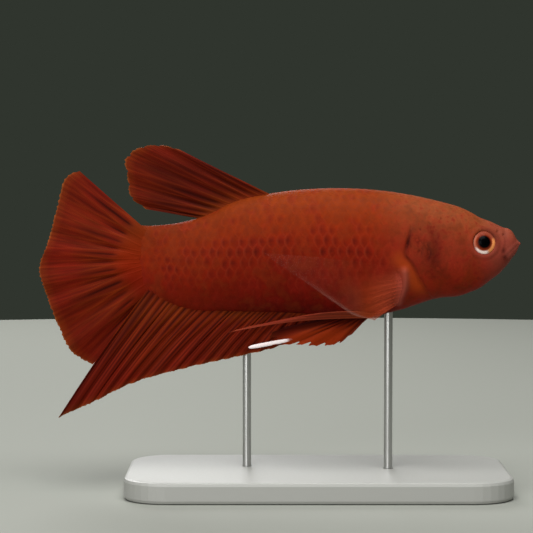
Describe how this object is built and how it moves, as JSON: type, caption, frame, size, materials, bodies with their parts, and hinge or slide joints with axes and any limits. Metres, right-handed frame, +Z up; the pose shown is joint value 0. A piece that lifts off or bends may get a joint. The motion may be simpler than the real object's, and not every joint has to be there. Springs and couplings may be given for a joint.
{
  "type": "betta fish",
  "caption": "Male betta fish of the short-finned form, deep orange-red with darker red fins, a still life-size model held over a flat stand by thin rods.",
  "frame": {"origin": "on the surface that the stand rests on, under the middle of the fish's whole length and in its midplane", "axes": "+X from the tail to the snout, +Y to the fish's left, +Z up"},
  "size_m": [0.0679, 0.028, 0.049],
  "materials": {
    "skin": "wet scaled skin, orange-red on the back and dark red on the belly",
    "fin": "thin rayed fin, dark red with paler rays",
    "clear_fin": "thin clear fin with pale rays, pink at its root",
    "eye": "glossy eye with an orange-gold iris and a black pupil",
    "stand_base": "pale grey satin paint on aluminium",
    "stand_rod": "drawn stainless steel"
  },
  "bodies": {
    "root": {"head": "skin", "lower_jaw": "skin", "gill_cover_left": "skin", "gill_cover_right": "skin", "trunk": "skin", "tail_stalk": "skin", "eye_left": "eye", "eye_right": "eye", "dorsal_fin": "fin", "caudal_fin": "fin", "anal_fin": "fin", "pelvic_fin_left": "fin", "pelvic_fin_right": "fin", "pectoral_fin_left": "clear_fin", "pectoral_fin_right": "clear_fin", "stand_base": "stand_base", "stand_rod_front": "stand_rod", "stand_rod_rear": "stand_rod"}
  },
  "joints": []
}
